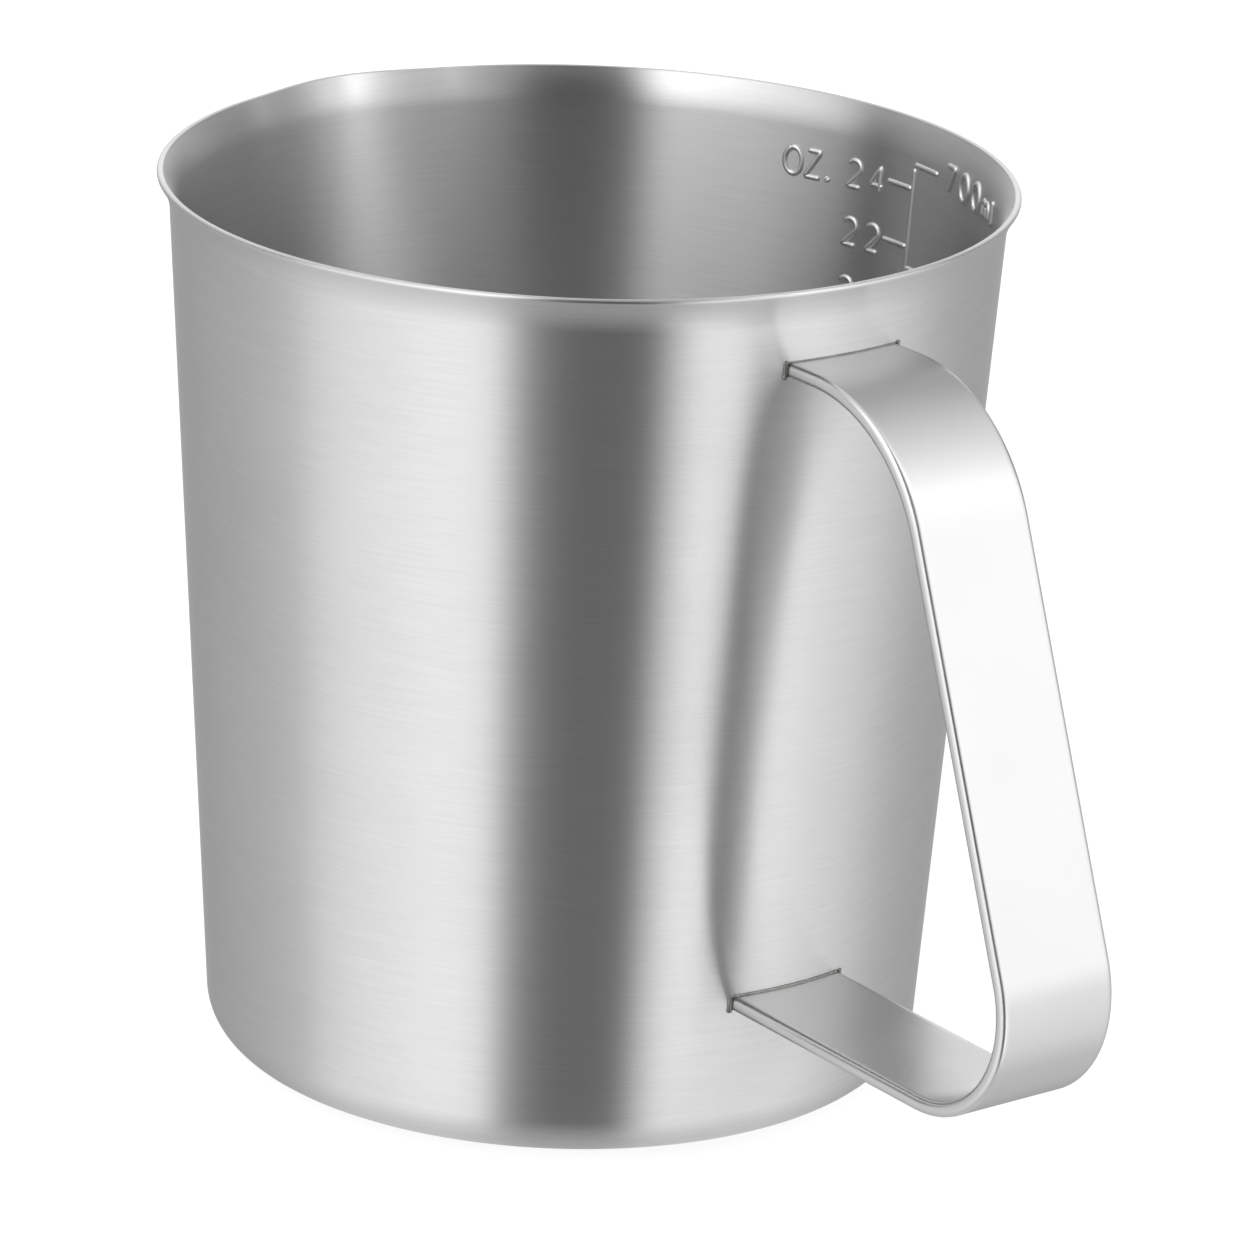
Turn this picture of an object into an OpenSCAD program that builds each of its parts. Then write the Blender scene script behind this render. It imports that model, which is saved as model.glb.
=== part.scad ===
// Stainless steel milk jug: a deep-drawn tapered cup with a flared lip and a
// small pressed spout, and a bent flat strap welded to its wall as a handle.
// Origin: middle of the base, on the surface that the jug stands on.
// +Z is up, the handle points to +X and the spout to -X.

/* [Cup] */
// Height of the cup from the table to the rim
cup_h = 110; // [95:1:130]
// Outside radius of the wall where its line meets the table
foot_r = 43.6; // [39:0.2:48]
// Outside radius of the wall where its line meets the rim
top_r = 50.6; // [49:0.2:56]
// Thickness of the drawn sheet
sheet_t = 0.8; // [0.6:0.05:1.2]
// Outside radius of the bend between the wall and the base
foot_bend_r = 6; // [4:0.5:9]

/* [Lip] */
// How far the rim stands out from the line of the wall
lip_out = 1.6; // [1.2:0.1:2.5]
// Height of the lip, which flares more and more towards the rim
lip_h = 4.5; // [4:0.1:6]

/* [Spout] */
// How far the spout is pressed out at the rim
spout_out = 1.3; // [1:0.1:2]
// Half the angle of the wall that the spout takes up, seen from above
spout_half_a = 17; // [13:0.5:20]
// Depth below the rim at which the spout runs out into the wall
spout_drop = 35; // [28:1:42]

/* [Handle] */
// Width of the strap
strap_w = 16.5; // [12:0.5:20]
// Thickness of the strap
strap_t = 1.8; // [1.6:0.1:2.6]
// Drop from the rim to the top face of the upper arm
upper_arm_drop = 9; // [8:0.5:14]
// Height of the lower arm's under side above the table, at its bend
lower_arm_h = 18.3; // [12:0.1:24]
// Rise of the lower arm towards the wall, in degrees
lower_arm_rise = 1; // [0:0.5:4]
// Straight run of the upper arm from the wall to its bend
upper_arm_run = 4; // [2:0.5:5]
// How far the handle stands out from the wall at its lower bend
handle_out = 48.2; // [42:0.1:52]
// Outside radius of the upper bend
upper_bend_r = 22; // [20:0.5:30]
// Outside radius of the lower bend
lower_bend_r = 15; // [12:0.5:18]

/* [Welds] */
// Radius of the weld tacks that run up the strap's side edges
tack_r = 1.2; // [1:0.1:1.8]
// How far a tack runs past the strap's faces, above and below
tack_past = 0.7; // [0.4:0.1:1]
// Leg of the weld beads along the strap's ends
bead_r = 0.8; // [0.5:0.1:1.1]

/* [Hidden] */
$fn = 96;
// Steps round the wall's line where the strap and the welds are fitted to it
fit_fn = 360;

// Cup: slope of the wall's line, across over up, and its angle
wall_slope = (top_r - foot_r) / cup_h;
wall_lean = atan(wall_slope);
// Cup: centre of the bend at the foot, which touches the wall and the table
foot_bend_x = foot_r - foot_bend_r * (1 - sin(wall_lean)) / cos(wall_lean);

// Cup: where the spout's foot runs out
spout_foot_z = cup_h - spout_drop;
// Cup: steps round the spout, round the rest, and up each part of the side
spout_steps = 14;
round_steps = 58;
bend_rows = 5;
wall_rows = 6;
lip_rows = 6;
// Cup: angles of its sections, from the spout, and heights of its rows of points
cup_angles = concat(
  [for (i = [0:spout_steps]) spout_half_a * (2 * i / spout_steps - 1)],
  [for (i = [1:round_steps - 1]) spout_half_a + (360 - 2 * spout_half_a) * i / round_steps]
);
lip_foot_z = cup_h - lip_h;
side_heights = concat(
  [for (i = [0:wall_rows - 1]) spout_foot_z + (lip_foot_z - spout_foot_z) * i / wall_rows],
  [for (i = [0:lip_rows]) lip_foot_z + lip_h * i / lip_rows]
);

// Handle: heights of the outer faces of its arms
upper_arm_z = cup_h - upper_arm_drop;
// Handle: centre of the lower bend
low_z = lower_arm_h + lower_bend_r;
low_x = wall_r(low_z) + handle_out - lower_bend_r;
// Handle: centre of the upper bend
up_z = upper_arm_z - upper_bend_r;
up_x = wall_r(upper_arm_z) + upper_arm_run;
// Handle: lean of the leg, which touches both bends
centres_l = norm([up_x - low_x, up_z - low_z]);
centres_a = atan2(up_z - low_z, up_x - low_x);
leg_lean = centres_a - acos((lower_bend_r - upper_bend_r) / centres_l);
// Handle: steps round each bend
bend_steps = 18;
// Handle: the arms are cut from a strap that reaches in to this radius
arm_in_r = foot_r * 0.8;

// Welds: heights of the tacks, and of the lower arm's top face at the wall
upper_weld_z = upper_arm_z - strap_t / 2;
lower_rise_z = (low_x - wall_r(lower_arm_h)) * tan(lower_arm_rise);
lower_top_z = lower_arm_h + strap_t + lower_rise_z;
lower_weld_z = lower_top_z - strap_t / 2;

// Outside radius of the wall at a height above the table
function wall_r(z) = foot_r + wall_slope * z;

// Radius of the cup's side at a height, lip and all, taken in by a depth
function side_r(z, in) =
  let(climb = max(0, z - lip_foot_z) / lip_h)
  let(slope = wall_slope + 2 * lip_out * climb / lip_h)
  wall_r(z) + lip_out * climb * climb - in * norm([1, slope]);

// How far the spout stands out from the round, at an angle from it and a height
function spout_push(a, z) =
  abs(a) >= spout_half_a || z <= spout_foot_z ? 0 :
  spout_out * pow(cos(90 * a / spout_half_a), 2) * pow((z - spout_foot_z) / spout_drop, 2);

// Side of the cup, from the edge of the flat base to the rim, taken in by a depth
function side_section(in) = concat(
  [
    for (i = [0:bend_rows])
      let(b = (90 - wall_lean) * i / bend_rows)
      let(r = foot_bend_r - in)
      [foot_bend_x + r * sin(b), foot_bend_r - r * cos(b)]
  ],
  [for (z = side_heights) [side_r(z, in), z]]
);

// The drawn sheet: its side, repeated round the axis with the spout, and its flat base
module cup_body() {
  outer = side_section(0);
  inner = side_section(sheet_t);
  section = concat(outer, [for (i = [len(inner) - 1:-1:0]) inner[i]]);
  n = len(section);
  turns = len(cup_angles);
  points = [
    for (a = cup_angles)
      for (p = section)
        let(r = p[0] + spout_push(a, p[1]))
        [-r * cos(a), r * sin(a), p[1]]
  ];
  faces = concat(
    [
      for (s = [0:turns - 1])
        let(p = s * n)
        let(q = (s + 1) % turns * n)
        for (k = [0:n - 2]) each [[p + k, q + k, p + k + 1], [p + k + 1, q + k, q + k + 1]]
    ],
    [
      [for (s = [turns - 1:-1:0]) s * n],
      [for (s = [0:turns - 1]) s * n + n - 1]
    ]
  );
  color("silver") polyhedron(points = points, faces = faces, convexity = 6);
}

// The line of the wall as a full cone, to cut what is fitted against it
module wall_cone() {
  cylinder(h = cup_h, r1 = foot_r, r2 = top_r, $fn = fit_fn);
}

// Points of a bend of the strap, from one angle to another above the X axis
function bend_points(x, z, r, from, to) = [
  for (i = [0:bend_steps])
    let(a = from + (to - from) * i / bend_steps)
    [x + r * cos(a), z + r * sin(a)]
];

// Points of a face of the strap, taken in by a depth, from the lower arm up
function face_points(in) =
  let(low = bend_points(low_x, low_z, lower_bend_r - in, -90 - lower_arm_rise, leg_lean))
  let(up = bend_points(up_x, up_z, upper_bend_r - in, leg_lean, 90))
  let(rise = (low[0][0] - arm_in_r) * tan(lower_arm_rise))
  concat([[arm_in_r, low[0][1] + rise]], low, up, [[arm_in_r, upper_arm_z - in]]);

// The whole strap, its arms still running into the cup
module strap_blank() {
  inner = face_points(strap_t);
  rotate([90, 0, 0]) linear_extrude(height = strap_w, center = true)
    polygon(concat(face_points(0), [for (i = [len(inner) - 1:-1:0]) inner[i]]));
}

// The strap, its ends cut to the wall
module handle_strap() {
  color("lightgray") difference() {
    strap_blank();
    wall_cone();
  }
}

// Bead in the corner between the wall and the top face of an arm
module weld_bead(z) {
  half_a = asin((strap_w / 2 - tack_r) / wall_r(z));
  difference() {
    rotate([0, 0, -half_a]) rotate_extrude(angle = 2 * half_a, $fn = fit_fn)
      translate([wall_r(z), z]) circle(r = bead_r);
    wall_cone();
    strap_blank();
  }
}

// Tack up a side edge of the strap; side is -1 for the left one, 1 for the right
module weld_tack(z, side) {
  y = side * strap_w / 2;
  x = sqrt(pow(wall_r(z), 2) - y * y);
  difference() {
    translate([x, y, z]) cylinder(h = strap_t + 2 * tack_past, r = tack_r, center = true);
    wall_cone();
    strap_blank();
  }
}

module upper_weld_bead() { color("dimgray") weld_bead(upper_arm_z); }
module lower_weld_bead() { color("dimgray") weld_bead(lower_top_z); }
module upper_weld_left() { color("gray") weld_tack(upper_weld_z, -1); }
module upper_weld_right() { color("gray") weld_tack(upper_weld_z, 1); }
module lower_weld_left() { color("gray") weld_tack(lower_weld_z, -1); }
module lower_weld_right() { color("gray") weld_tack(lower_weld_z, 1); }

cup_body();
handle_strap();
upper_weld_bead();
lower_weld_bead();
upper_weld_left();
upper_weld_right();
lower_weld_left();
lower_weld_right();
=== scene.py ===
"""Stainless steel milk jug: what shows of it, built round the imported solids.

Sizes are in millimetres until a point goes into a mesh, which is in metres, in
the solids' own frame: the middle of the base at the origin, the handle to +X,
the spout to -X.
"""
import math

import bpy
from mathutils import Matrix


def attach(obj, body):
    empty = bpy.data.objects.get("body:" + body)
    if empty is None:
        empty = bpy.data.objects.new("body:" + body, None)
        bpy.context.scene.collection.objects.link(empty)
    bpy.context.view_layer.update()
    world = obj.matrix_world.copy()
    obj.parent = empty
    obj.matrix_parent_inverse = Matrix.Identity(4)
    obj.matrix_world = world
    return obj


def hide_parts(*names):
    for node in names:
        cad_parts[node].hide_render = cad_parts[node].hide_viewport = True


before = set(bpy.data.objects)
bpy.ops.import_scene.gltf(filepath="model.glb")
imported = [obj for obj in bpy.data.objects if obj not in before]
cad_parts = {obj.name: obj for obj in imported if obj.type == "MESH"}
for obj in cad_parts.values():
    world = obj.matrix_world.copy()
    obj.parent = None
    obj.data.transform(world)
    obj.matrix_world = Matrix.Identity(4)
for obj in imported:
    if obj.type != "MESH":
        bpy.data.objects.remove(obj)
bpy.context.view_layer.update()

MM = 0.001

# Cup, as in the solids
CUP_H = 110.0
FOOT_R = 43.6
TOP_R = 50.6
SHEET_T = 0.8
FOOT_BEND_R = 6.0
LIP_OUT = 1.6
LIP_H = 4.5
SPOUT_OUT = 1.3
SPOUT_HALF_A = math.radians(17)
SPOUT_DROP = 35.0
# Rounding of the sheet's edge at the rim, on its outer corner, and bevel on the inner
RIM_ROUND = 0.3
RIM_BEVEL = 0.1

# Handle, as in the solids
STRAP_W = 16.5
STRAP_T = 1.8
UPPER_ARM_Z = CUP_H - 9.0
LOWER_ARM_H = 18.3
LOWER_ARM_RISE = math.radians(1)
UPPER_ARM_RUN = 4.0
HANDLE_OUT = 48.2
UPPER_BEND_R = 22.0
LOWER_BEND_R = 15.0
# Rounding of the strap's long edges, and how far in its faces lie quite flat
STRAP_EDGE_R = 0.7
STRAP_FLAT_IN = 0.4

WALL_SLOPE = (TOP_R - FOOT_R) / CUP_H
WALL_LEAN = math.atan(WALL_SLOPE)


def wall_r(z):
    """Outside radius of the wall's line at a height."""
    return FOOT_R + WALL_SLOPE * z


def inner_r(z):
    """Inside radius of the wall's line at a height."""
    return wall_r(z) - SHEET_T / math.cos(WALL_LEAN)


# ---------------------------------------------------------------- node helpers

def put(tree, socket, value):
    """Links a socket to another node's output, or sets it to a plain value."""
    if isinstance(value, bpy.types.NodeSocket):
        tree.links.new(value, socket)
    else:
        socket.default_value = value


def add(tree, kind, inputs=None, **settings):
    """Adds a node with its settings, and its inputs by name or number."""
    node = tree.nodes.new(kind)
    for name, value in settings.items():
        setattr(node, name, value)
    for name, value in (inputs or {}).items():
        put(tree, node.inputs[name], value)
    return node


def calc(tree, operation, *values):
    """Adds a Math node on one to three values; gives its result."""
    return add(tree, "ShaderNodeMath", dict(enumerate(values)), operation=operation).outputs[0]


def noise(tree, place, scale, detail):
    """A cloud of noise, its scale in cycles per metre."""
    return add(tree, "ShaderNodeTexNoise", {
        "Vector": place, "Scale": scale, "Detail": detail}).outputs[0]


def remap(tree, value, low, high, new_low=0.0, new_high=1.0, **settings):
    """A value moved from one range into another, and held inside it."""
    return add(tree, "ShaderNodeMapRange", {
        "Value": value, "From Min": low, "From Max": high, "To Min": new_low, "To Max": new_high},
        **settings).outputs[0]


def rounded_ends(tree, radius, least):
    """How full a bar is along its line: 1, and less within a radius of its ends."""
    along = add(tree, "GeometryNodeSplineParameter").outputs["Length"]
    total = add(tree, "GeometryNodeSplineLength").outputs["Length"]
    tip = calc(tree, "MINIMUM", along, calc(tree, "SUBTRACT", total, along))
    tip = calc(tree, "MINIMUM", calc(tree, "DIVIDE", tip, radius), 1.0)
    tip = calc(tree, "MULTIPLY", tip, calc(tree, "SUBTRACT", 2.0, tip))
    return calc(tree, "MAXIMUM", calc(tree, "SQRT", tip), least)


def round_bar(tree, line, radius, sides):
    """A round bar along a curve, its radius a value or a field."""
    circle = add(tree, "GeometryNodeCurvePrimitiveCircle", {"Resolution": sides, "Radius": 1.0})
    bar = add(tree, "GeometryNodeCurveToMesh", {
        "Curve": line, "Profile Curve": circle.outputs["Curve"], "Scale": radius,
        "Fill Caps": True})
    return bar.outputs[0]


def linear(code):
    """A colour written as an sRGB hex value, as linear RGBA."""
    parts = [int(code[i:i + 2], 16) / 255 for i in (1, 3, 5)]
    return [p / 12.92 if p <= 0.04045 else ((p + 0.055) / 1.055) ** 2.4 for p in parts] + [1.0]


def shape_tree(name, inputs):
    """A Geometry Nodes tree with named inputs; gives the tree and its inputs' node."""
    tree = bpy.data.node_groups.new(name, "GeometryNodeTree")
    face = tree.interface
    face.new_socket("Geometry", in_out="INPUT", socket_type="NodeSocketGeometry")
    for label, kind in inputs.items():
        face.new_socket(label, in_out="INPUT", socket_type="NodeSocket" + kind)
    face.new_socket("Geometry", in_out="OUTPUT", socket_type="NodeSocketGeometry")
    return tree, add(tree, "NodeGroupInput").outputs


def close_tree(tree, geometry, steel):
    """Ends a tree: smooth, real geometry with its material."""
    smooth = add(tree, "GeometryNodeSetShadeSmooth", {"Geometry": geometry})
    real = add(tree, "GeometryNodeRealizeInstances", {"Geometry": smooth.outputs[0]})
    done = add(tree, "GeometryNodeSetMaterial", {"Geometry": real.outputs[0], "Material": steel})
    add(tree, "NodeGroupOutput", {"Geometry": done.outputs[0]})


def outline(name, points, edges):
    """An object of bare points and edges, given in mm, for a tree to work on."""
    mesh = bpy.data.meshes.new(name)
    mesh.from_pydata([[c * MM for c in p] for p in points], edges, [])
    thing = bpy.data.objects.new(name, mesh)
    bpy.context.scene.collection.objects.link(thing)
    return thing


def chain(points, start=0):
    """Edges that join points one after another."""
    return [(start + i, start + i + 1) for i in range(len(points) - 1)]


def grow(base, tree, values):
    """Runs a tree on an object and leaves its result as the object's plain mesh."""
    modifier = base.modifiers.new(tree.name, "NODES")
    modifier.node_group = tree
    for item in tree.interface.items_tree:
        if item.in_out == "INPUT" and item.name in values:
            modifier[item.identifier] = values[item.name]
    graph = bpy.context.evaluated_depsgraph_get()
    mesh = bpy.data.meshes.new_from_object(
        base.evaluated_get(graph), preserve_all_data_layers=True, depsgraph=graph)
    base.modifiers.remove(modifier)
    base.data = mesh
    mesh.name = base.name
    return base


# ------------------------------------------------------------------- materials

def new_material(name):
    """An empty node material, its tree and the Object coordinates' socket."""
    material = bpy.data.materials.new(name)
    material.use_nodes = True
    tree = material.node_tree
    tree.nodes.clear()
    return material, tree, add(tree, "ShaderNodeTexCoord").outputs["Object"]


def tones(colour, below, above):
    """A colour a little darker and a little lighter, for a surface that varies."""
    r, g, b, a = linear(colour)
    return [(r * k, g * k, b * k, a) for k in (below, above)]


def steel_surface(tree, inputs):
    """Ends a material's tree in bare metal with these inputs."""
    bsdf = add(tree, "ShaderNodeBsdfPrincipled", {"Metallic": 1.0, **inputs})
    add(tree, "ShaderNodeOutputMaterial", {"Surface": bsdf.outputs[0]})


def brushed_steel(name, colour, rough, anisotropic):
    """Stainless steel, satin from an abrasive belt run round the turning cup: level
    lines 0.2 to 0.6 mm apart and about 10 mm long, rings on its base, which draw each
    reflection out into an upright band, and small pits that sparkle in its shade."""
    steel, tree, place = new_material(name)
    x, y, z = add(tree, "ShaderNodeSeparateXYZ", {0: place}).outputs
    flat = add(tree, "ShaderNodeCombineXYZ", {0: x, 1: y, 2: 0.0}).outputs[0]
    out = add(tree, "ShaderNodeVectorMath", {0: flat}, operation="LENGTH").outputs["Value"]
    rise = calc(tree, "ADD", z, out)
    belt = add(tree, "ShaderNodeCombineXYZ", {0: x, 1: y, 2: rise}).outputs[0]

    def lines(along, across, detail):
        """Noise drawn out round the cup; its scales are in cycles per metre."""
        scaled = add(tree, "ShaderNodeVectorMath", {
            0: belt, 1: (along, along, across)}, operation="MULTIPLY")
        return noise(tree, scaled.outputs[0], 1.0, detail)

    fine, coarse = lines(130.0, 5000.0, 3.0), lines(70.0, 1700.0, 2.0)
    both = add(tree, "ShaderNodeMix", {"Factor": 0.2, "A": fine, "B": coarse}).outputs["Result"]
    pits = noise(tree, place, 3600.0, 2.0)
    low, high = tones(colour, 0.965, 1.03)
    tint = add(tree, "ShaderNodeMix", {
        "Factor": remap(tree, both, 0.35, 0.65), "A": low, "B": high}, data_type="RGBA")
    polish = remap(tree, noise(tree, place, 60.0, 3.0), 0.3, 0.7, rough - 0.015, rough + 0.015)
    grooves = add(tree, "ShaderNodeBump", {
        "Strength": 0.3, "Distance": 0.01 * MM, "Height": both})
    pitted = add(tree, "ShaderNodeBump", {
        "Strength": 0.2, "Distance": 0.012 * MM, "Height": pits, "Normal": grooves.outputs[0]})
    around = add(tree, "ShaderNodeTangent", direction_type="UV_MAP", uv_map="UVMap")
    steel_surface(tree, {
        "Base Color": tint.outputs["Result"],
        "Roughness": calc(tree, "MULTIPLY_ADD", pits, 0.08, polish),
        "Anisotropic": anisotropic, "Anisotropic Rotation": 0.25, "Tangent": around.outputs[0],
        "Normal": pitted.outputs[0]})
    return steel


def tumbled_steel(name, colour, rough):
    """Stainless steel, satin from tumbling: an even silky grain with no lines, a
    little smoother and a little rougher by turns, as hands and the tumbler leave it."""
    steel, tree, place = new_material(name)
    rubbed = noise(tree, place, 90.0, 3.0)
    low, high = tones(colour, 0.97, 1.02)
    tint = add(tree, "ShaderNodeMix", {"Factor": rubbed, "A": low, "B": high}, data_type="RGBA")
    bump = add(tree, "ShaderNodeBump", {
        "Strength": 0.18, "Distance": 0.01 * MM, "Height": noise(tree, place, 4200.0, 2.0)})
    steel_surface(tree, {
        "Base Color": tint.outputs["Result"],
        "Roughness": remap(tree, rubbed, 0.3, 0.7, rough - 0.03, rough + 0.03),
        "Normal": bump.outputs[0]})
    return steel


def weld_steel(name, colour, tinted):
    """Steel as it froze in a hand weld, wire-brushed: uneven, dull in places, with a
    grey heat tint that comes and goes along it."""
    steel, tree, place = new_material(name)
    spots = noise(tree, place, 1400.0, 3.0)
    tint = add(tree, "ShaderNodeMix", {
        "Factor": noise(tree, place, 500.0, 1.0), "A": linear(tinted), "B": linear(colour)},
        data_type="RGBA")
    bump = add(tree, "ShaderNodeBump", {
        "Strength": 0.3, "Distance": 0.03 * MM, "Height": spots})
    steel_surface(tree, {
        "Base Color": tint.outputs["Result"],
        "Roughness": remap(tree, spots, 0.3, 0.7, 0.25, 0.45),
        "Normal": bump.outputs[0]})
    return steel


CUP_STEEL = brushed_steel("belt_brushed_stainless", "#cbcbcb", 0.32, 0.97)
STRAP_STEEL = tumbled_steel("tumbled_stainless", "#cccccc", 0.3)
# The marks' steel is a lighter grey than the cup's, though they are pressed from the same sheet:
# a painted highlight that makes the strokes read lighter than the wall round them.
MARK_STEEL = tumbled_steel("pressed_stainless_marks_painted_lighter", "#d8d8d8", 0.44)
WELD_STEEL = weld_steel("wire_brushed_weld", "#8f8e8c", "#696764")


# -------------------------------------------------------------------- the cup

def side_r(z):
    """Outside radius of the side, which flares more and more up the lip."""
    climb = max(0.0, z - (CUP_H - LIP_H)) / LIP_H
    return wall_r(z) + LIP_OUT * climb ** 2


def cup_profile():
    """The sheet's outline from the axis, outside and up, round the rim and back."""
    base_steps, bend_steps, wall_steps, lip_steps, edge_steps = 12, 14, 24, 40, 8
    bend_x = FOOT_R - FOOT_BEND_R * (1 - math.sin(WALL_LEAN)) / math.cos(WALL_LEAN)
    outside = [(bend_x * i / base_steps, 0.0) for i in range(base_steps)]
    for i in range(bend_steps + 1):
        turn = (math.pi / 2 - WALL_LEAN) * i / bend_steps
        outside.append(
            (bend_x + FOOT_BEND_R * math.sin(turn), FOOT_BEND_R * (1 - math.cos(turn))))
    bend_z = outside[-1][1]
    lip_foot = CUP_H - LIP_H
    for i in range(1, wall_steps):
        z = bend_z + (lip_foot - bend_z) * i / wall_steps
        outside.append((wall_r(z), z))
    # The rim is cut level, and the outer corner of its edge is rounded
    lean = math.atan(WALL_SLOPE + 2 * LIP_OUT / LIP_H)
    edge_z = CUP_H - RIM_ROUND * (1 + math.sin(lean))
    for i in range(lip_steps + 1):
        z = lip_foot + (edge_z - lip_foot) * i / lip_steps
        outside.append((side_r(z), z))
    inside = []
    for i, (x, z) in enumerate(outside):
        x0, z0 = outside[max(0, i - 1)]
        x1, z1 = outside[min(len(outside) - 1, i + 1)]
        length = math.hypot(x1 - x0, z1 - z0)
        inside.append((x - (z1 - z0) / length * SHEET_T, z + (x1 - x0) / length * SHEET_T))
    inside[0] = (0.0, SHEET_T)
    inside = [(x, z) for x, z in inside if z < CUP_H - RIM_BEVEL]
    mid_x, mid_z = outside[-1][0] - RIM_ROUND * math.cos(lean), CUP_H - RIM_ROUND
    turns = [(math.pi / 2 + lean) * i / edge_steps - lean for i in range(1, edge_steps + 1)]
    edge = [(mid_x + RIM_ROUND * math.cos(a), mid_z + RIM_ROUND * math.sin(a)) for a in turns]
    # Close pairs of points keep the level edge flat and the bevel soft
    near, dip = 0.04, 0.005
    bevel_x = inside[-1][0] + RIM_BEVEL
    edge += [(mid_x - near, CUP_H), (bevel_x + near, CUP_H), (bevel_x, CUP_H - dip),
             (bevel_x - RIM_BEVEL * 0.7, CUP_H - RIM_BEVEL * 0.3)]
    return outside + edge + inside[::-1]


def turned_sheet_tree():
    """Turns an outline round Z and presses the spout out of it at -X."""
    tree, given = shape_tree("turned_sheet", {
        "Rows": "Int", "Turns": "Int", "Crowding": "Float", "Spout out": "Float",
        "Spout half angle": "Float", "Spout foot": "Float", "Spout drop": "Float",
        "Steel": "Material"})
    grid = add(tree, "GeometryNodeMeshGrid", {
        "Size X": 1.0, "Size Y": 1.0, "Vertices X": calc(tree, "ADD", given["Turns"], 1.0),
        "Vertices Y": given["Rows"]})
    kept = add(tree, "GeometryNodeStoreNamedAttribute", {
        "Geometry": grid.outputs["Mesh"], "Name": "UVMap", "Value": grid.outputs["UV Map"]},
        data_type="FLOAT2", domain="CORNER")
    place = add(tree, "GeometryNodeInputPosition").outputs[0]
    x, y, _ = add(tree, "ShaderNodeSeparateXYZ", {0: place}).outputs
    # Each row of the grid takes its radius and height from a point of the outline
    last = calc(tree, "SUBTRACT", given["Rows"], 1.0)
    row = calc(tree, "MULTIPLY", calc(tree, "ADD", y, 0.5), last)
    row = add(tree, "FunctionNodeFloatToInt", {0: row}, rounding_mode="ROUND").outputs[0]
    point = add(tree, "GeometryNodeSampleIndex", {
        "Geometry": given["Geometry"], "Value": place, "Index": row},
        data_type="FLOAT_VECTOR", domain="POINT").outputs[0]
    r, _, z = add(tree, "ShaderNodeSeparateXYZ", {0: point}).outputs
    # Its columns go round, closer together at the spout
    even = calc(tree, "MULTIPLY", calc(tree, "ADD", x, 0.5), math.tau)
    swing = calc(tree, "MULTIPLY", calc(tree, "SINE", even), given["Crowding"])
    angle = calc(tree, "SUBTRACT", even, swing)
    # The push of the spout, by the angle off it and the climb from its foot
    off = calc(tree, "ABSOLUTE", calc(tree, "SUBTRACT", angle, math.pi))
    off = calc(tree, "SUBTRACT", math.pi, off)
    share = calc(tree, "MINIMUM", calc(tree, "DIVIDE", off, given["Spout half angle"]), 1.0)
    share = calc(tree, "COSINE", calc(tree, "MULTIPLY", share, math.pi / 2))
    climb = calc(tree, "SUBTRACT", z, given["Spout foot"])
    climb = calc(tree, "MAXIMUM", calc(tree, "DIVIDE", climb, given["Spout drop"]), 0.0)
    push = calc(tree, "MULTIPLY", share, climb)
    push = calc(tree, "MULTIPLY", push, push)
    far = calc(tree, "MULTIPLY_ADD", push, given["Spout out"], r)
    back = calc(tree, "MULTIPLY", far, -1.0)
    new_x = calc(tree, "MULTIPLY", back, calc(tree, "COSINE", angle))
    new_y = calc(tree, "MULTIPLY", back, calc(tree, "SINE", angle))
    spot = add(tree, "ShaderNodeCombineXYZ", {0: new_x, 1: new_y, 2: z}).outputs[0]
    moved = add(tree, "GeometryNodeSetPosition", {
        "Geometry": kept.outputs[0], "Position": spot})
    joined = add(tree, "GeometryNodeMergeByDistance", {
        "Geometry": moved.outputs[0], "Distance": 0.002 * MM})
    close_tree(tree, joined.outputs[0], given["Steel"])
    return tree


def make_cup():
    """The cup, in one mesh."""
    profile = cup_profile()
    cup = outline("cup", [(r, 0.0, z) for r, z in profile], chain(profile))
    grow(cup, turned_sheet_tree(), {
        "Rows": len(profile), "Turns": 400, "Crowding": 0.6, "Spout out": SPOUT_OUT * MM,
        "Spout half angle": SPOUT_HALF_A, "Spout foot": (CUP_H - SPOUT_DROP) * MM,
        "Spout drop": SPOUT_DROP * MM, "Steel": CUP_STEEL})
    return cup


# ----------------------------------------------------------------- the handle

def arc(x, z, radius, start, end, steps):
    """Points of an arc of a circle, by angles above +X in radians."""
    turns = (start + (end - start) * i / steps for i in range(steps + 1))
    return [(x + radius * math.cos(a), z + radius * math.sin(a)) for a in turns]


def lower_bend():
    """Centre of the strap's lower bend, across and up."""
    z = LOWER_ARM_H + LOWER_BEND_R
    return wall_r(z) + HANDLE_OUT - LOWER_BEND_R, z


def strap_path():
    """Middle line of the strap in its own plane, from the lower arm up."""
    low_x, low_z = lower_bend()
    up_z = UPPER_ARM_Z - UPPER_BEND_R
    up_x = wall_r(UPPER_ARM_Z) + UPPER_ARM_RUN
    apart = math.hypot(up_x - low_x, up_z - low_z)
    between = math.atan2(up_z - low_z, up_x - low_x)
    lean = between - math.acos((LOWER_BEND_R - UPPER_BEND_R) / apart)
    half = STRAP_T / 2
    first = -math.pi / 2 - LOWER_ARM_RISE
    low_steps, up_steps = 24, 32
    path = arc(low_x, low_z, LOWER_BEND_R - half, first, lean, low_steps)
    path += arc(up_x, up_z, UPPER_BEND_R - half, lean, math.pi / 2, up_steps)
    # The arms run in to the wall, with a point close to each end, and more points
    # along the lower arm
    past_end, near_end = 0.4, 0.9
    x, z = path[0]
    low_end = inner_r(z)
    steps = [low_end - past_end, low_end + near_end, low_end + 4, low_end + 12, low_end + 22]
    path = [(s, z + (x - s) * math.tan(LOWER_ARM_RISE)) for s in steps if s < x - 1] + path
    z = path[-1][1]
    return path + [(inner_r(z) + near_end, z), (inner_r(z) - past_end, z)]


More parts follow.
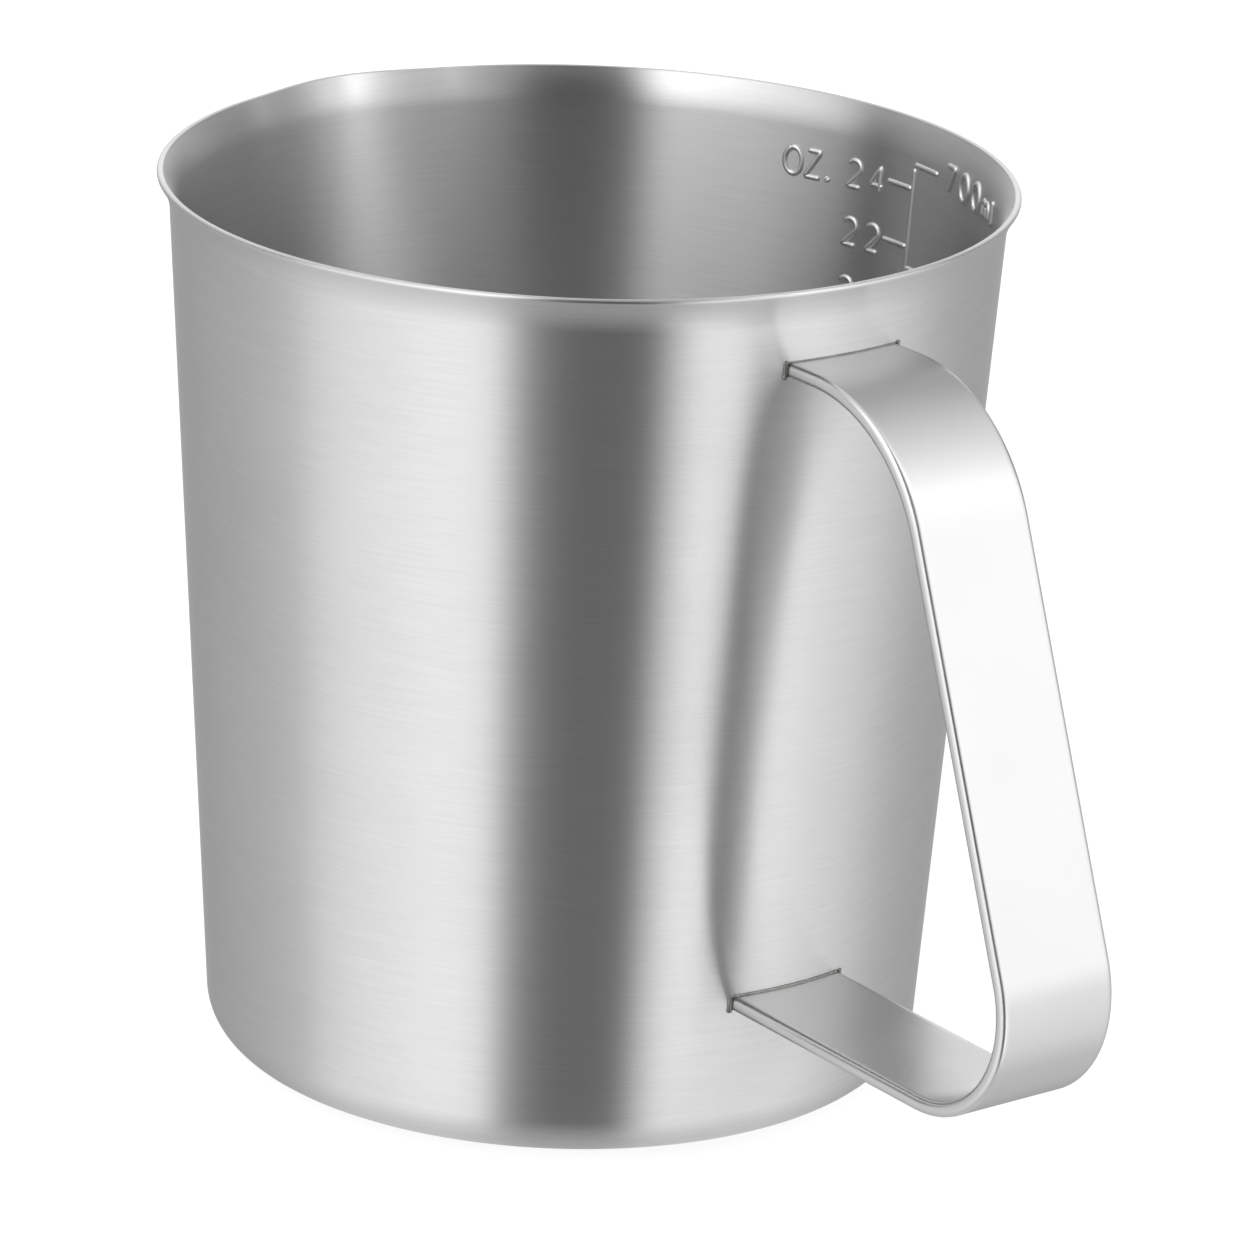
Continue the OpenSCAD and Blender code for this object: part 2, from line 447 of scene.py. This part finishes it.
def strap_section():
    """The strap's cross-section, width by thickness, its edges rounded."""
    w, t, r = STRAP_W / 2, STRAP_T / 2, STRAP_EDGE_R
    corner_steps = 5
    points = []
    for cx, cy, start in (
            (w - r, t - r, 0), (r - w, t - r, 90), (r - w, r - t, 180), (w - r, r - t, 270)):
        points += arc(cx, cy, r, math.radians(start), math.radians(start + 90), corner_steps)
        if start in (0, 180):
            flat = math.copysign(w - r - STRAP_FLAT_IN, cx)
            points += [(flat, math.copysign(t, cy)), (-flat, math.copysign(t, cy))]
    return points


def lengths(points):
    """Length of a line of points so far, at each of them."""
    run = [0.0]
    for (x0, y0), (x1, y1) in zip(points, points[1:]):
        run.append(run[-1] + math.hypot(x1 - x0, y1 - y0))
    return run


def make_strap():
    """The handle: its section swept along its path, the ends shaped to the wall."""
    path, section = strap_path(), strap_section()
    run, girth = lengths(path), lengths(section + section[:1])
    end_sunk = 0.05
    points, count = [], len(section)
    for i, (x, z) in enumerate(path):
        x0, z0 = path[max(0, i - 1)]
        x1, z1 = path[min(len(path) - 1, i + 1)]
        length = math.hypot(x1 - x0, z1 - z0)
        along_x, along_z = (x1 - x0) / length, (z1 - z0) / length
        for across, out in section:
            px, pz = x + along_z * out, z - along_x * out
            if i in (0, len(path) - 1):
                px = math.sqrt(wall_r(pz) ** 2 - across ** 2) - end_sunk
            points.append((px * MM, across * MM, pz * MM))
    faces, uvs = [], []
    for i in range(len(path) - 1):
        for k in range(count):
            a, b = i * count + k, i * count + (k + 1) % count
            faces.append((a, b, b + count, a + count))
            uvs += [(run[i] * MM, girth[k] * MM), (run[i] * MM, girth[k + 1] * MM),
                    (run[i + 1] * MM, girth[k + 1] * MM), (run[i + 1] * MM, girth[k] * MM)]
    faces += [tuple(range(count - 1, -1, -1)), tuple(range(len(points) - count, len(points)))]
    uvs += [(0.0, 0.0)] * (2 * count)
    mesh = bpy.data.meshes.new("strap")
    mesh.from_pydata(points, [], faces)
    layer = mesh.uv_layers.new(name="UVMap")
    for spot, uv in zip(layer.data, uvs):
        spot.uv = uv
    mesh.shade_smooth()
    mesh.materials.append(STRAP_STEEL)
    strap = bpy.data.objects.new("strap", mesh)
    bpy.context.scene.collection.objects.link(strap)
    return strap


# ------------------------------------------------------------------ the welds

# A bead's radius at the upper and the lower arm, and how far short it stops of the
# strap's side edges
UPPER_BEAD_R = 0.14
LOWER_BEAD_R = 0.26
BEAD_SHORT = 0.4
# A tack's radius, how far it runs past the strap's faces, and how far its middle
# line is sunk in the wall
TACK_R = 0.36
TACK_PAST = 0.3
TACK_SUNK = 0.05


def weld_tree():
    """Runs a rippled bead of weld metal along a line."""
    tree, given = shape_tree("rippled_weld", {
        "Radius": "Float", "Pitch": "Float", "Ripple": "Float", "Wander": "Float",
        "Sides": "Int", "Seed": "Float", "Steel": "Material"})
    line = add(tree, "GeometryNodeMeshToCurve", {"Mesh": given["Geometry"]})
    line = add(tree, "GeometryNodeResampleCurve", {
        "Curve": line.outputs[0], "Length": 0.09 * MM}, mode="LENGTH")
    # Ripples along it, a slow drift in its size, and rounded ends
    along = add(tree, "GeometryNodeSplineParameter").outputs["Length"]
    turn = calc(tree, "MULTIPLY", calc(tree, "DIVIDE", along, given["Pitch"]), math.tau)
    wave = calc(tree, "MULTIPLY_ADD", calc(tree, "SINE", turn), given["Ripple"], 1.0)
    place = add(tree, "GeometryNodeInputPosition").outputs[0]
    drift = add(tree, "ShaderNodeTexNoise", {
        "Vector": place, "W": given["Seed"], "Scale": 700.0, "Detail": 1.0},
        noise_dimensions="4D").outputs[0]
    size = calc(tree, "MULTIPLY", wave, remap(tree, drift, 0.3, 0.7, 0.9, 1.1))
    size = calc(tree, "MULTIPLY", size, given["Radius"])
    size = calc(tree, "MULTIPLY", size, rounded_ends(tree, given["Radius"], 0.02))
    bead = round_bar(tree, line.outputs[0], size, given["Sides"])
    # Lumps, which move its surface in and out
    lumps = calc(tree, "SUBTRACT", noise(tree, place, 1500.0, 2.0), 0.5)
    lumps = calc(tree, "MULTIPLY", lumps, given["Wander"])
    facing = add(tree, "GeometryNodeInputNormal").outputs[0]
    shift = add(tree, "ShaderNodeVectorMath", {
        0: facing, "Scale": lumps}, operation="SCALE").outputs[0]
    moved = add(tree, "GeometryNodeSetPosition", {"Geometry": bead, "Offset": shift})
    close_tree(tree, moved.outputs[0], given["Steel"])
    return tree


def make_welds():
    """The beads along the arms' top faces and the tacks up their side edges, each
    with the name of the node that it replaces."""
    tree = weld_tree()
    half_w = STRAP_W / 2
    rise = (lower_bend()[0] - wall_r(LOWER_ARM_H)) * math.tan(LOWER_ARM_RISE)
    lower_top = LOWER_ARM_H + STRAP_T + rise
    bead_steps, tack_steps = 40, 8
    made = []
    for end, top, bead_r in (
            ("upper", UPPER_ARM_Z, UPPER_BEAD_R), ("lower", lower_top, LOWER_BEAD_R)):
        half_a = math.asin((half_w - BEAD_SHORT) / wall_r(top))
        spots = [(x, y, top) for x, y in arc(0, 0, wall_r(top), -half_a, half_a, bead_steps)]
        bead = outline(end + "_bead", spots, chain(spots))
        grow(bead, tree, {
            "Radius": bead_r * MM, "Pitch": 0.9 * MM, "Ripple": 0.04, "Wander": 0.03 * MM,
            "Sides": 14, "Seed": top, "Steel": WELD_STEEL})
        made.append((bead, end + "_weld_bead"))
        for side, name in ((-1, "left"), (1, "right")):
            y, length = side * half_w, STRAP_T + 2 * TACK_PAST
            climb = [top - STRAP_T - TACK_PAST + length * i / tack_steps
                     for i in range(tack_steps + 1)]
            spots = [(math.sqrt(wall_r(z) ** 2 - y * y) - TACK_SUNK, y, z) for z in climb]
            tack = outline(end + "_tack_" + name, spots, chain(spots))
            grow(tack, tree, {
                "Radius": TACK_R * MM, "Pitch": 1.1 * MM, "Ripple": 0.1, "Wander": 0.12 * MM,
                "Sides": 20, "Seed": top + side, "Steel": WELD_STEEL})
            made.append((tack, end + "_weld_" + name))
    return made


# ------------------------------------------------------- the scale of volumes

def ring(cx, cy, rx, ry, start, end, steps=10):
    """Points of an arc of an ellipse, in degrees from +x towards +y."""
    turns = (math.radians(start + (end - start) * i / steps) for i in range(steps + 1))
    return [(cx + rx * math.cos(a), cy + ry * math.sin(a)) for a in turns]


def arch(x):
    """One arch of the letter m, from its foot to the foot of its right leg."""
    return [(x - 0.17, 0.42)] + ring(x, 0.42, 0.17, 0.24, 180, 0, 8) + [(x + 0.17, 0.0)]


# Single-stroke figures on a field 0.6 wide and 1 high
FIGURES = {
    "0": [ring(0.3, 0.5, 0.3, 0.5, 90, 480, 26)],
    "1": [[(0.12, 0.8), (0.34, 1.0), (0.34, 0.0)]],
    "2": [ring(0.3, 0.72, 0.28, 0.28, 165, -30, 12) + [(0.02, 0.0), (0.6, 0.0)]],
    "3": [ring(0.3, 0.75, 0.26, 0.25, 150, -90, 12)
          + ring(0.3, 0.25, 0.29, 0.25, 90, -150, 12)[1:]],
    "4": [[(0.44, 0.0), (0.44, 1.0), (0.0, 0.3), (0.6, 0.3)]],
    "5": [[(0.54, 1.0), (0.1, 1.0), (0.06, 0.56)] + ring(0.3, 0.32, 0.29, 0.32, 130, -145, 14)],
    "6": [[(0.5, 0.98), (0.22, 0.68)] + ring(0.3, 0.3, 0.29, 0.3, 160, 520, 22)],
    "7": [[(0.02, 1.0), (0.58, 1.0), (0.22, 0.0)]],
    "8": [ring(0.3, 0.76, 0.24, 0.24, 270, -90, 18), ring(0.3, 0.26, 0.29, 0.26, 90, 450, 20)],
    "9": [ring(0.3, 0.7, 0.29, 0.3, -20, 340, 22) + [(0.38, 0.32), (0.12, 0.02)]],
    "O": [ring(0.33, 0.5, 0.33, 0.5, 90, 480, 26)],
    "Z": [[(0.04, 1.0), (0.58, 1.0), (0.0, 0.0), (0.62, 0.0)]],
    ".": [ring(0.1, 0.06, 0.05, 0.05, 0, 480, 16)],
    "m": [[(0.0, 0.0), (0.0, 0.66)], arch(0.17), arch(0.51)],
    "l": [[(0.06, 1.0), (0.06, 0.0)]],
}
# Width of a figure and of the narrower and wider signs, and the gap after each
# figure and in the ounce side's unit, all in heights of a figure
FIGURE_W = 0.6
WIDTHS = {".": 0.2, "m": 0.68, "l": 0.12}
FIGURE_GAP = 0.48
UNIT_GAP = 0.23
# Height of a figure, and how much wider than their field all of them are pressed
FIGURE_H = 3.35
FIGURE_STRETCH = 1.13
# The upright line of the scale: its angle round the cup from the handle, how far
# under the 700 ml level it starts, and the volume down to which it runs
LINE_A = math.radians(88.1)
LINE_SHORT = 0.9
LINE_FOOT_ML = 56
# Millilitres that the cup holds per ounce and per hundred of the scale, a little
# off their names, as the ticks in the photo are
OUNCE = 28.0
HUNDRED = 99.4
# Ticks: where they start and end, off the line
TICK_FROM = 0.2
TICK_TO = 5.0
# Where the ounce figures end, their unit ends and the millilitre figures start, off
# the line, and how far each stands over its tick
OUNCE_END, OUNCE_UP = 5.55, -0.45
UNIT_END, UNIT_UP = 14.4, -0.55
ML_START, ML_UP = 6.8, 0.1
# Marks: radius of the pressed stroke, how far its middle lies outside the wall's
# inner face, and how much further that of the upright line, which is fainter
STROKE_R = 0.4
MARK_SUNK = 0.14
LINE_SUNK = 0.03
# Height at which lengths along the wall are true; above it they are wider
FIELD_Z = 100


def volume_ml(z):
    """What the cup holds up to a height, in millilitres."""
    steps = 200
    slice_h = (z - SHEET_T) / steps
    total = 0.0
    for i in range(steps):
        h = SHEET_T + slice_h * (i + 0.5)
        r = inner_r(h)
        if h < FOOT_BEND_R:
            bend = max(0.0, (FOOT_BEND_R - SHEET_T) ** 2 - (FOOT_BEND_R - h) ** 2)
            r = FOOT_R - FOOT_BEND_R + math.sqrt(bend)
        total += math.pi * r * r * slice_h
    return total / 1000


def level(ml):
    """The height up to which the cup holds a volume."""
    low, high, halvings = SHEET_T, CUP_H, 40
    for _ in range(halvings):
        mid = (low + high) / 2
        low, high = (mid, high) if volume_ml(mid) < ml else (low, mid)
    return low


def words(text, at, z, gap=FIGURE_GAP):
    """Strokes of a text whose middle height is z; at is where it starts, in mm
    along the wall to the right of the upright line."""
    strokes = []
    for letter in text:
        for stroke in FIGURES[letter]:
            strokes.append([
                (at + x * FIGURE_STRETCH * FIGURE_H, z + (y - 0.5) * FIGURE_H)
                for x, y in stroke])
        at += (WIDTHS.get(letter, FIGURE_W) * FIGURE_STRETCH + gap) * FIGURE_H
    return strokes


def text_length(text, gap=FIGURE_GAP):
    """Length of a text along the wall, in mm."""
    full = sum(WIDTHS.get(letter, FIGURE_W) * FIGURE_STRETCH + gap for letter in text)
    return FIGURE_H * (full - gap)


def scale_strokes():
    """Each stroke of the scale, as points (mm along the wall, height)."""
    strokes = []
    for count in range(2, 25, 2):
        z, label = level(count * OUNCE), str(count)
        strokes.append([(-TICK_TO, z), (-TICK_FROM, z)])
        strokes += words(label, -OUNCE_END - text_length(label), z + OUNCE_UP)
    unit_at = -UNIT_END - text_length("OZ.", UNIT_GAP)
    strokes += words("OZ.", unit_at, level(24 * OUNCE) + UNIT_UP, UNIT_GAP)
    for count in range(1, 8):
        z, label = level(count * HUNDRED), str(count) + "00"
        strokes.append([(-TICK_FROM, z), (TICK_TO, z)])
        strokes += words(label + ("ml" if count == 7 else ""), ML_START, z + ML_UP)
    return strokes


def mark_tree():
    """Bends strokes from a flat field on to the wall's inside and gives them body."""
    tree, given = shape_tree("pressed_marks", {
        "Line angle": "Float", "Foot radius": "Float", "Slope": "Float",
        "Field radius": "Float", "Sunk": "Float", "Stroke": "Float", "Steel": "Material"})
    line = add(tree, "GeometryNodeMeshToCurve", {"Mesh": given["Geometry"]})
    line = add(tree, "GeometryNodeResampleCurve", {
        "Curve": line.outputs[0], "Length": 0.22 * MM}, mode="LENGTH")
    place = add(tree, "GeometryNodeInputPosition").outputs[0]
    x, deeper, z = add(tree, "ShaderNodeSeparateXYZ", {0: place}).outputs
    turn = calc(tree, "DIVIDE", x, given["Field radius"])
    turn = calc(tree, "SUBTRACT", given["Line angle"], turn)
    far = calc(tree, "MULTIPLY_ADD", z, given["Slope"], given["Foot radius"])
    far = calc(tree, "ADD", calc(tree, "ADD", far, given["Sunk"]), deeper)
    new_x = calc(tree, "MULTIPLY", far, calc(tree, "COSINE", turn))
    new_y = calc(tree, "MULTIPLY", far, calc(tree, "SINE", turn))
    spot = add(tree, "ShaderNodeCombineXYZ", {0: new_x, 1: new_y, 2: z}).outputs[0]
    bent = add(tree, "GeometryNodeSetPosition", {"Geometry": line.outputs[0], "Position": spot})
    size = calc(tree, "MULTIPLY", rounded_ends(tree, given["Stroke"], 0.05), given["Stroke"])
    close_tree(tree, round_bar(tree, bent.outputs[0], size, 12), given["Steel"])
    return tree


def make_marks():
    """The scale of volumes inside the wall: its upright line, ticks and figures."""
    points = [(0.0, LINE_SUNK, level(700) - LINE_SHORT), (0.0, LINE_SUNK, level(LINE_FOOT_ML))]
    edges = chain(points)
    for stroke in scale_strokes():
        edges += chain(stroke, len(points))
        points += [(x, 0.0, z) for x, z in stroke]
    marks = outline("volume_marks", points, edges)
    grow(marks, mark_tree(), {
        "Line angle": LINE_A, "Foot radius": inner_r(0) * MM, "Slope": WALL_SLOPE,
        "Field radius": inner_r(FIELD_Z) * MM, "Sunk": MARK_SUNK * MM, "Stroke": STROKE_R * MM,
        "Steel": MARK_STEEL})
    return marks


# ---------------------------------------------------------- floor, light, view

CAMERA_AT = (719.8, -550.33, 365.5)
CAMERA_TURN = (70.9944, -2.0550, 52.9375)
CAMERA_LENS = 226.69
# Angle of the camera round the jug, clockwise from the handle seen from above
CAMERA_ROUND = math.radians(37.4)


def make_camera():
    """The photo's own view."""
    view = bpy.data.objects.new("camera", bpy.data.cameras.new("camera"))
    view.location = [c * MM for c in CAMERA_AT]
    view.rotation_euler = [math.radians(a) for a in CAMERA_TURN]
    view.data.lens = CAMERA_LENS
    view.data.sensor_width = 36.0
    view.data.clip_start, view.data.clip_end = 0.01, 50.0
    bpy.context.scene.collection.objects.link(view)
    bpy.context.scene.camera = view


def make_floor():
    """A plain white card under the jug, which glows a little and so stays white."""
    half, cells, under = 3.0, 8, -0.0003
    row = [half * (i / cells * 2 - 1) for i in range(cells + 1)]
    points = [(x, y, under) for y in row for x in row]
    faces = []
    for k in range(cells):
        for a in range(k * (cells + 1), k * (cells + 1) + cells):
            faces.append((a, a + 1, a + cells + 2, a + cells + 1))
    mesh = bpy.data.meshes.new("floor")
    mesh.from_pydata(points, [], faces)
    floor = bpy.data.objects.new("floor", mesh)
    bpy.context.scene.collection.objects.link(floor)
    paper, tree, _ = new_material("matt_white_card")
    card = add(tree, "ShaderNodeBsdfDiffuse", {"Color": linear("#8a8a89")})
    glow = add(tree, "ShaderNodeEmission", {"Color": linear("#ffffff"), "Strength": 0.85})
    both = add(tree, "ShaderNodeAddShader", {0: card.outputs[0], 1: glow.outputs[0]})
    add(tree, "ShaderNodeOutputMaterial", {"Surface": both.outputs[0]})
    mesh.materials.append(paper)
    floor.visible_glossy = False


# Light round the jug, by the angle in degrees to the left (-) or right (+) of the
# camera, seen from the jug. LOW is what its walls mirror, MIDDLE what its handle
# does, HIGH what its inside and its lip do: soft boxes left and right, and a dark
# gap at the camera.
LOW_BANDS = (
    (-180, 0.46), (-150, 0.48), (-110, 0.8), (-70, 1.3), (-42, 1.5), (-26, 1.3), (-18, 0.22),
    (-2, 0.1), (20, 0.12), (28, 1.3), (34, 1.9), (50, 1.65), (80, 1.15), (120, 0.78),
    (150, 0.52), (180, 0.46),
)
MIDDLE_BANDS = (
    (-180, 1.4), (-165, 1.2), (-150, 0.6), (-100, 0.25), (-86, 0.25), (-78, 1.5), (-55, 1.6),
    (-22, 2.3), (-12, 0.04), (16, 0.04), (28, 0.8), (40, 1.25), (57, 1.76), (88, 1.74),
    (98, 1.15), (114, 0.3), (150, 0.6), (165, 1.2), (180, 1.4),
)
HIGH_BANDS = (
    (-180, 0.5), (-165, 0.8), (-145, 1.3), (-125, 1.2), (-108, 0.7), (-88, 0.5), (-78, 1.9),
    (-55, 2.1), (-22, 3.2), (-12, 0.04), (16, 0.04), (26, 0.4), (48, 0.55), (57, 1.0),
    (67, 2.0), (72, 3.8), (77, 3.8), (81, 1.6), (87, 1.4), (99, 1.15), (120, 0.97),
    (143, 0.7), (161, 0.48), (180, 0.5),
)
OVERHEAD_GLOW = 1.0
TABLE_GLOW = 0.8
BRIGHTEST = 5.0


def make_light():
    """A tent of soft light, as plain studio light for steel is. The steel mirrors
    it, and the camera sees it white."""
    world = bpy.data.worlds.new("light_tent")
    bpy.context.scene.world = world
    world.use_nodes = True
    tree = world.node_tree
    tree.nodes.clear()
    aim = add(tree, "ShaderNodeTexCoord").outputs["Generated"]
    turned = add(tree, "ShaderNodeVectorRotate", {
        "Vector": aim, "Angle": CAMERA_ROUND}, rotation_type="Z_AXIS")
    x, y, z = add(tree, "ShaderNodeSeparateXYZ", {0: turned.outputs[0]}).outputs
    around = remap(tree, calc(tree, "ARCTAN2", y, x), -math.pi, math.pi)

    def plain(light):
        """One brightness, as the share of the brightest that a ramp can hold."""
        return (light / BRIGHTEST, light / BRIGHTEST, light / BRIGHTEST, 1.0)

    def bands(stops):
        """The light at each angle round, from a table of its soft boxes."""
        ramp = add(tree, "ShaderNodeValToRGB", {"Fac": around})
        while len(ramp.color_ramp.elements) < len(stops):
            ramp.color_ramp.elements.new(0.5)
        for stop, (angle, light) in zip(ramp.color_ramp.elements, stops):
            stop.position = (angle + 180) / 360
            stop.color = plain(light)
        return ramp.outputs[0]

    def blend(low, high, under, over):
        """One light under a soft step between two elevations and another over it."""
        low, high = math.sin(math.radians(low)), math.sin(math.radians(high))
        return add(tree, "ShaderNodeMix", {
            "Factor": remap(tree, z, low, high, interpolation_type="SMOOTHSTEP"),
            "A": under, "B": over}, data_type="RGBA").outputs["Result"]

    tent = blend(-8, 12, bands(LOW_BANDS), bands(MIDDLE_BANDS))
    tent = blend(24, 38, tent, bands(HIGH_BANDS))
    tent = blend(62, 80, tent, plain(OVERHEAD_GLOW))
    tent = blend(-60, -38, plain(TABLE_GLOW), tent)
    mirrored = add(tree, "ShaderNodeBackground", {"Color": tent, "Strength": BRIGHTEST})
    seen = add(tree, "ShaderNodeBackground", {"Color": linear("#ffffff"), "Strength": 1.0})
    path = add(tree, "ShaderNodeLightPath")
    both = add(tree, "ShaderNodeMixShader", {
        0: path.outputs["Is Camera Ray"], 1: mirrored.outputs[0], 2: seen.outputs[0]})
    add(tree, "ShaderNodeOutputWorld", {"Surface": both.outputs[0]})


make_camera()
make_floor()
make_light()
bpy.context.scene.view_settings.view_transform = "Standard"

cup = make_cup()
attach(cup, "root")
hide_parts("cup_body")

strap = make_strap()
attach(strap, "root")
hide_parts("handle_strap")

for weld, node in make_welds():
    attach(weld, "root")
    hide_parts(node)

marks = make_marks()
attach(marks, "root")
